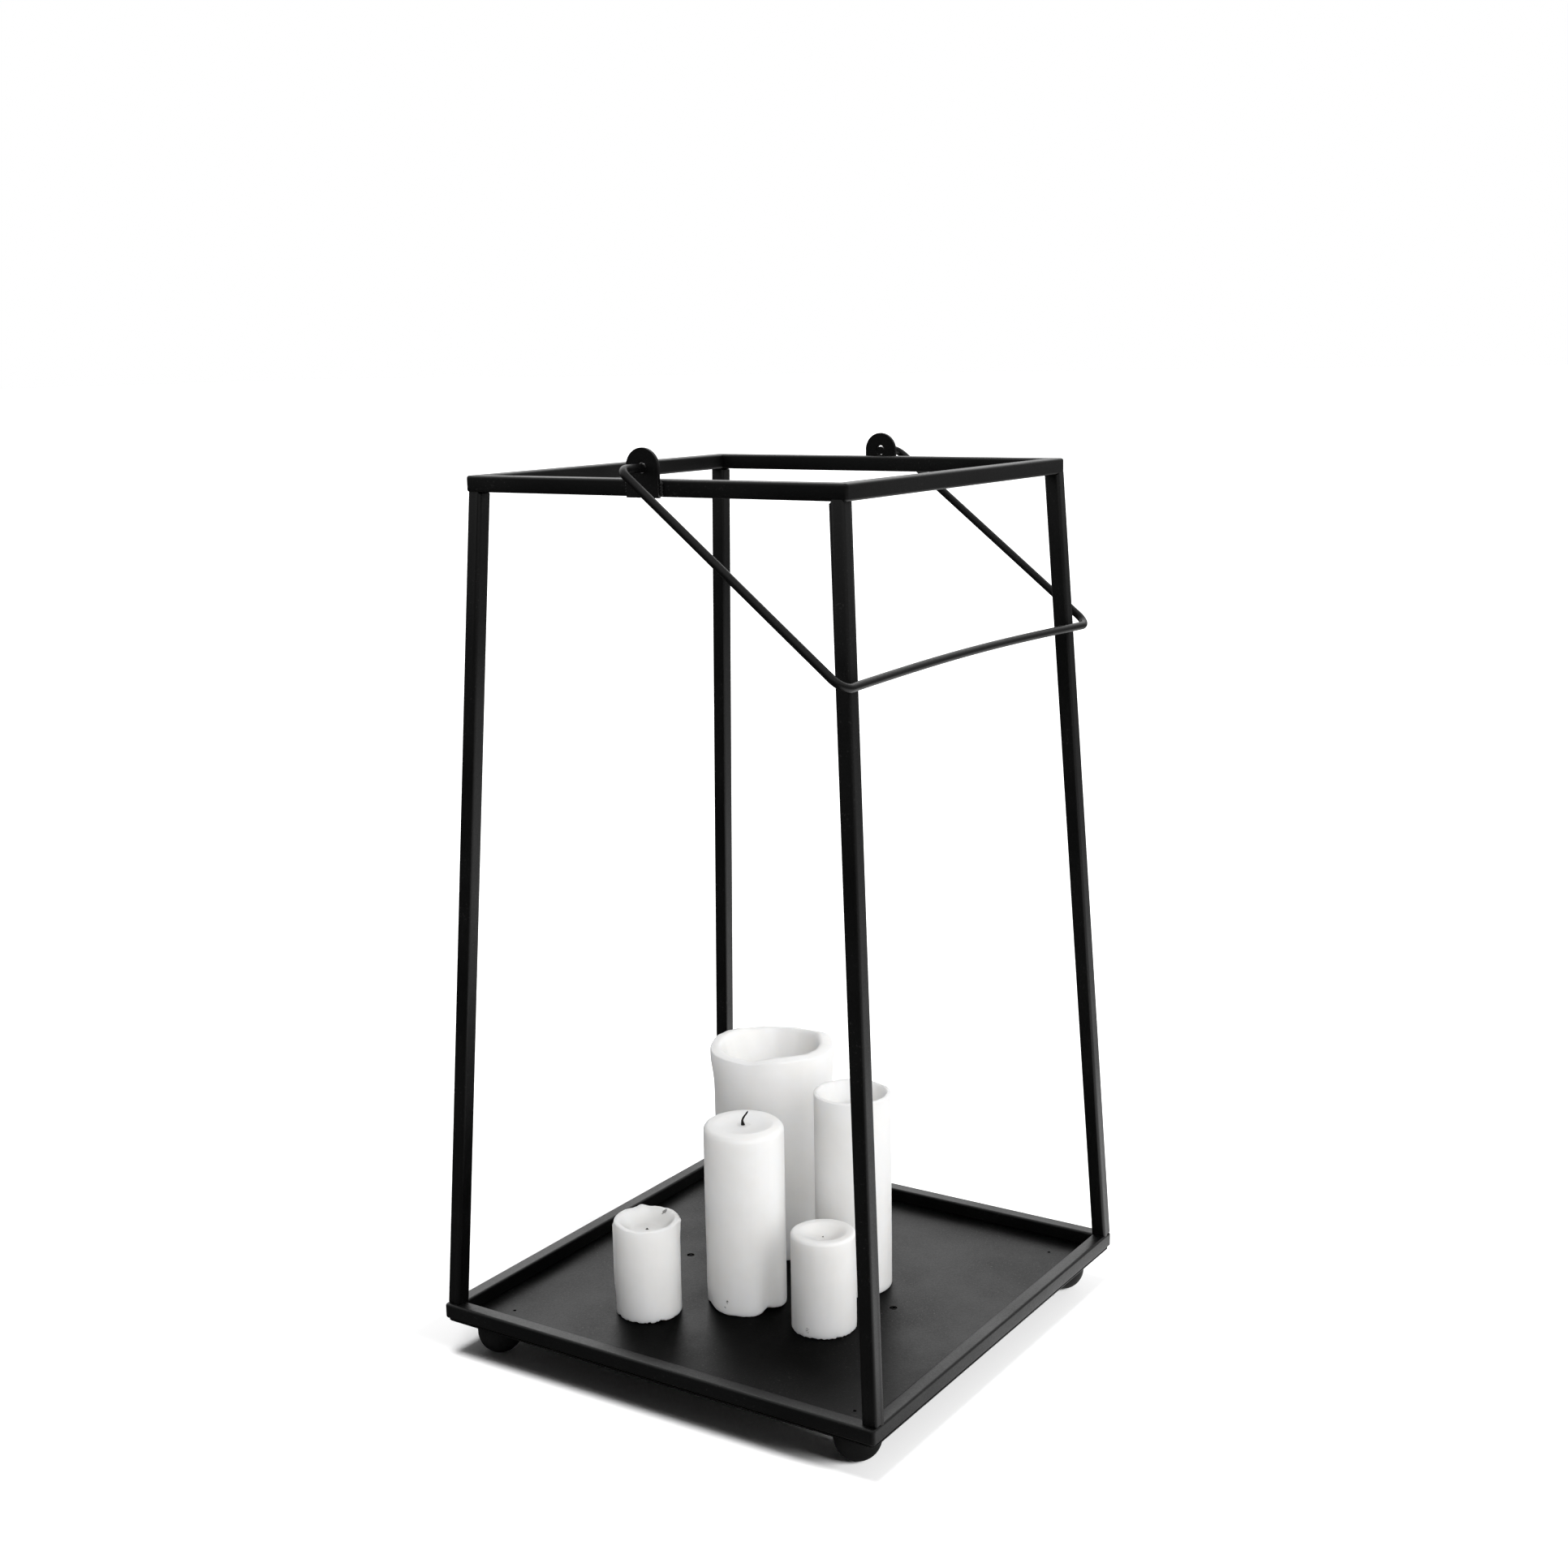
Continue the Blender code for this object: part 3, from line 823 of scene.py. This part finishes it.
def add_frame():
    for level in ("base", "top"):
        for quarter, side_name in enumerate(("front", "right", "back", "left")):
            node = f"{level}_rail_{side_name}"
            low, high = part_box(f"{level}_rail_right")
            mesh = rail_mesh(node + "_tube", 2 * high[0], (low[2] + high[2]) / 2, quarter)
            piece(node + "_tube", mesh, steel, "frame", "steel", node)
    rail_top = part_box("base_rail_front")[1][2]
    rail_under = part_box("top_rail_front")[0][2]
    for sy, front in ((-1, "front"), (1, "back")):
        for sx, left in ((-1, "left"), (1, "right")):
            node = f"upright_{front}_{left}"
            low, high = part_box(node)
            outer = (high[0] if sx > 0 else low[0], high[1] if sy > 0 else low[1])
            inner = (low[0] if sx > 0 else high[0], low[1] if sy > 0 else high[1])
            foot = (outer[0] - sx * TUBE / 2, outer[1] - sy * TUBE / 2)
            head = (inner[0] + sx * TUBE / 2, inner[1] + sy * TUBE / 2)
            mesh = upright_mesh(node + "_tube", foot, head, rail_top, rail_under, sx, sy)
            piece(node + "_tube", mesh, steel, "frame", "steel", node)


def add_tray():
    low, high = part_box("tray_plate")
    side = high[0] - low[0] - 2 * TRAY_SET_IN
    outlines = [rounded_square(side, TRAY_CORNER, 10)]
    for sx in (-1, 1):
        outlines.append(arc(sx * LARGE_HOLE_OFFSET, 0, LARGE_HOLE_RADIUS, 0, 360, 48)[:-1])
        for sy in (-1, 1):
            hole = arc(sx * SMALL_HOLE_OFFSET, sy * SMALL_HOLE_OFFSET, SMALL_HOLE_RADIUS,
                       0, 360, 28)
            outlines.append(hole[:-1])
    mesh = plate_mesh("tray_plate_sheet", outlines, high[2] - low[2], TRAY_EDGE)
    piece("tray_plate_sheet", mesh, tray_steel, "frame", "steel", "tray_plate",
          location=(0, 0, (low[2] + high[2]) / 2))


def add_lugs():
    for side, node in ((-1, "lug_front"), (1, "lug_back")):
        low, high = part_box(node)
        hole_z = high[2] - LUG_HALF_WIDTH
        middle = (low[0] + high[0]) / 2
        foot = hole_z - low[2]
        outline = [(-LUG_HALF_WIDTH, -foot), (LUG_HALF_WIDTH, -foot)]
        outline += arc(0, 0, LUG_HALF_WIDTH, 0, 180, 56)
        hole = arc(0, 0, LUG_HOLE_RADIUS, 0, 360, 48)[:-1]
        mesh = plate_mesh(node + "_strip", (outline, hole), high[1] - low[1], LUG_EDGE)
        mesh.transform(Matrix.Rotation(math.radians(90), 4, "X"))
        piece(node + "_strip", mesh, steel, "frame", "steel", node,
              location=(middle, (low[1] + high[1]) / 2, hole_z))
        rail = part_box("top_rail_right")[1][0] * side
        for sx, label in ((-1, "left"), (1, "right")):
            x = middle + sx * (LUG_HALF_WIDTH + BEAD_FROM_LUG)
            y = rail + side * BEAD_FROM_RAIL
            start = Vector((x, y, low[2] + BEAD_FOOT))
            end = Vector((x + sx * BEAD_LEAN, y, low[2] + BEAD_HEAD))
            mesh = bead_mesh(f"weld_{node}_{label}", start, end, BEAD_RADIUS, BEAD_RIPPLES)
            piece(f"weld_{node}_{label}", mesh, steel, "frame", "steel")


def add_bail():
    lug_front, lug_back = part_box("lug_front"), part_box("lug_back")
    holes = (lug_front[1][2] + lug_back[1][2]) / 2 - LUG_HALF_WIDTH
    path = bail_path(BAIL_HALF_EYE)
    mesh = sweep("bail_handle_wire", path, [WIRE_RADIUS] * len(path), 28)
    piece("bail_handle_wire", mesh, steel, "bail", "steel", "bail_handle",
          location=(LUG_X, 0, holes - WIRE_HANG))


def add_feet():
    for node in ("foot_front_left", "foot_front_right", "foot_back_right", "foot_back_left"):
        low, high = (Vector(corner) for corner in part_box(node))
        radius = (high.x - low.x) / 2
        height = high.z - low.z
        profile = [(radius * 0.5, height), (radius - FOOT_EDGE, height)]
        profile += arc(radius - FOOT_EDGE, height - FOOT_EDGE, FOOT_EDGE, 75, 0, 5)
        profile += [(radius, height * 0.85), (radius, height * 0.70)]
        lowest = math.degrees(math.asin(FOOT_DOME_CENTRE / FOOT_DOME_DEPTH))
        for step in range(1, 25):
            angle = math.radians(lowest * step / 24)
            profile.append((radius * math.cos(angle),
                            FOOT_DOME_CENTRE - FOOT_DOME_DEPTH * math.sin(angle)))
        profile.append((profile[-1][0] * 0.5, 0))
        loops = []
        for across, up in profile:
            loops.append([Vector((across * math.cos(a), across * math.sin(a), up))
                          for a in (2 * math.pi * step / 72 for step in range(72))])
        mesh = loft(node + "_dome", loops, 50)
        piece(node + "_dome", mesh, rubber, "frame", "rubber", node,
              location=((low.x + high.x) / 2, (low.y + high.y) / 2, low.z))


def add_floor():
    """A pale floor: greyer to bounced light, and dimmer to mirror rays on the left and far away."""
    mesh = bpy.data.meshes.new("floor")
    reach = FLOOR_REACH
    corners = [(-reach, -reach, 0), (reach, -reach, 0), (reach, reach, 0), (-reach, reach, 0)]
    mesh.from_pydata(corners, [], [(0, 1, 2, 3)])
    material, nodes, links, shader = new_material("pale_floor")
    place = nodes.new("ShaderNodeTexCoord").outputs["Object"]
    cloud = add_noise(nodes, links, place, 2, 2)
    colour = mixed(nodes, links, cloud, (0.955, 0.955, 0.955), (0.965, 0.965, 0.965))
    right = nodes.new("ShaderNodeVectorMath")
    right.operation = "DOT_PRODUCT"
    right.inputs[1].default_value = side_point(1, FLOOR_LIT_DIRECTION, 0)
    links.new(place, right.inputs[0])
    away = nodes.new("ShaderNodeVectorMath")
    away.operation = "LENGTH"
    links.new(place, away.inputs[0])
    lit = ranged(nodes, links, right.outputs["Value"], -0.05, 0.25, 0.04, 0.75)
    fading = ranged(nodes, links, away.outputs["Value"], 0.5, 2.4, 1, 0.12)
    path = nodes.new("ShaderNodeLightPath")
    colour = mixed(nodes, links, path.outputs["Is Diffuse Ray"], colour, (FLOOR_BOUNCE,) * 3)
    dimmed = maths(nodes, links, "MULTIPLY", lit, fading)
    colour = mixed(nodes, links, path.outputs["Is Glossy Ray"], colour, dimmed)
    links.new(colour, shader.inputs["Base Color"])
    shader.inputs["Roughness"].default_value = 1.0
    shader.inputs["Specular IOR Level"].default_value = 0.0
    mesh.materials.append(material)
    floor = bpy.data.objects.new("floor", mesh)
    bpy.context.scene.collection.objects.link(floor)


def add_sun(name, receivers, strength, spread_deg, azimuth_deg, height_deg):
    """A broad soft lamp that lights only the given pieces."""
    data = bpy.data.lights.new(name, "SUN")
    data.energy = strength
    data.angle = math.radians(spread_deg)
    lamp = bpy.data.objects.new(name, data)
    angle = FRONT + math.radians(azimuth_deg)
    up = math.radians(height_deg)
    toward = Vector((math.cos(angle) * math.cos(up), math.sin(angle) * math.cos(up), math.sin(up)))
    lamp.rotation_euler = toward.to_track_quat("Z", "Y").to_euler()
    bpy.context.scene.collection.objects.link(lamp)
    group = bpy.data.collections.new(name + "_receivers")
    for item in receivers:
        group.objects.link(item)
    lamp.light_linking.receiver_collection = group


def add_studio():
    """Surroundings that are white to the camera, bright overhead and dark on the front left to
    mirror rays, and a dim slope to the rest; then the lamps of the wax and of the floor."""
    world = bpy.data.worlds.new("studio")
    bpy.context.scene.world = world
    world.use_nodes = True
    nodes, links = world.node_tree.nodes, world.node_tree.links
    plain = nodes["Background"]
    output = nodes["World Output"]
    place = nodes.new("ShaderNodeTexCoord").outputs["Generated"]
    height = nodes.new("ShaderNodeSeparateXYZ")
    links.new(place, height.inputs[0])
    behind = nodes.new("ShaderNodeVectorMath")
    behind.operation = "DOT_PRODUCT"
    behind.inputs[1].default_value = side_point(1, MIRRORED_DIRECTION, 0)
    links.new(place, behind.inputs[0])
    turned = ranged(nodes, links, behind.outputs["Value"], 0.25, 0.95, MIRRORED_DARK, 1)
    skyline = ranged(nodes, links, height.outputs["Z"], 0.02, 0.20, 0.7, 1.0)
    ceiling = ranged(nodes, links, height.outputs["Z"], 0.25, 0.60, 0, MIRRORED_CEILING)
    glow = maths(nodes, links, "MULTIPLY", turned, maths(nodes, links, "ADD", skyline, ceiling))
    overhead = nodes.new("ShaderNodeVectorMath")
    overhead.operation = "DOT_PRODUCT"
    toward = Vector(side_point(1, AMBIENT_DIRECTION, AMBIENT_RISE))
    overhead.inputs[1].default_value = toward.normalized()
    links.new(place, overhead.inputs[0])
    soft = ranged(nodes, links, overhead.outputs["Value"], -0.15, 1.0, AMBIENT_LOW, AMBIENT_HIGH)
    path = nodes.new("ShaderNodeLightPath")
    mirrored = nodes.new("ShaderNodeMix")
    links.new(path.outputs["Is Glossy Ray"], mirrored.inputs["Factor"])
    links.new(soft, mirrored.inputs["A"])
    links.new(glow, mirrored.inputs["B"])
    seen = nodes.new("ShaderNodeMix")
    links.new(path.outputs["Is Camera Ray"], seen.inputs["Factor"])
    links.new(mirrored.outputs["Result"], seen.inputs["A"])
    seen.inputs["B"].default_value = 1.0
    plain.inputs["Color"].default_value = (1, 1, 1, 1)
    links.new(seen.outputs["Result"], plain.inputs["Strength"])
    links.new(plain.outputs["Background"], output.inputs["Surface"])
    # Importance sampling would give the metal the slope meant for the rest
    world.cycles.sampling_method = "NONE"
    waxes = [item for item in bpy.context.scene.objects if item.name.endswith("_wax")]
    for receivers, lamps in ((waxes, WAX_LAMPS), ([bpy.data.objects["floor"]], FLOOR_LAMPS)):
        for name, strength, spread_deg, azimuth_deg, height_deg in lamps:
            add_sun(name, receivers, strength, spread_deg, azimuth_deg, height_deg)


steel = coated_steel("black_powder_coat", (0.0022, 0.0022, 0.0023), (0.0042, 0.0042, 0.0042),
                     (0.05, 0.049, 0.047), 0.36, 1.42)
tray_steel = coated_steel("black_powder_coat_tray", (0.0024, 0.0024, 0.0024),
                          (0.0058, 0.0058, 0.0057), (0.08, 0.078, 0.075), 0.36, 1.27)
rubber = moulded_rubber()
wick_black = burnt_wick()

add_camera()
add_frame()
add_tray()
add_lugs()
add_bail()
add_feet()
for seed, (name, settings) in enumerate(CANDLES.items()):
    add_candle(seed, name, **settings)
add_floor()
add_studio()
bpy.context.scene.view_settings.view_transform = "Standard"
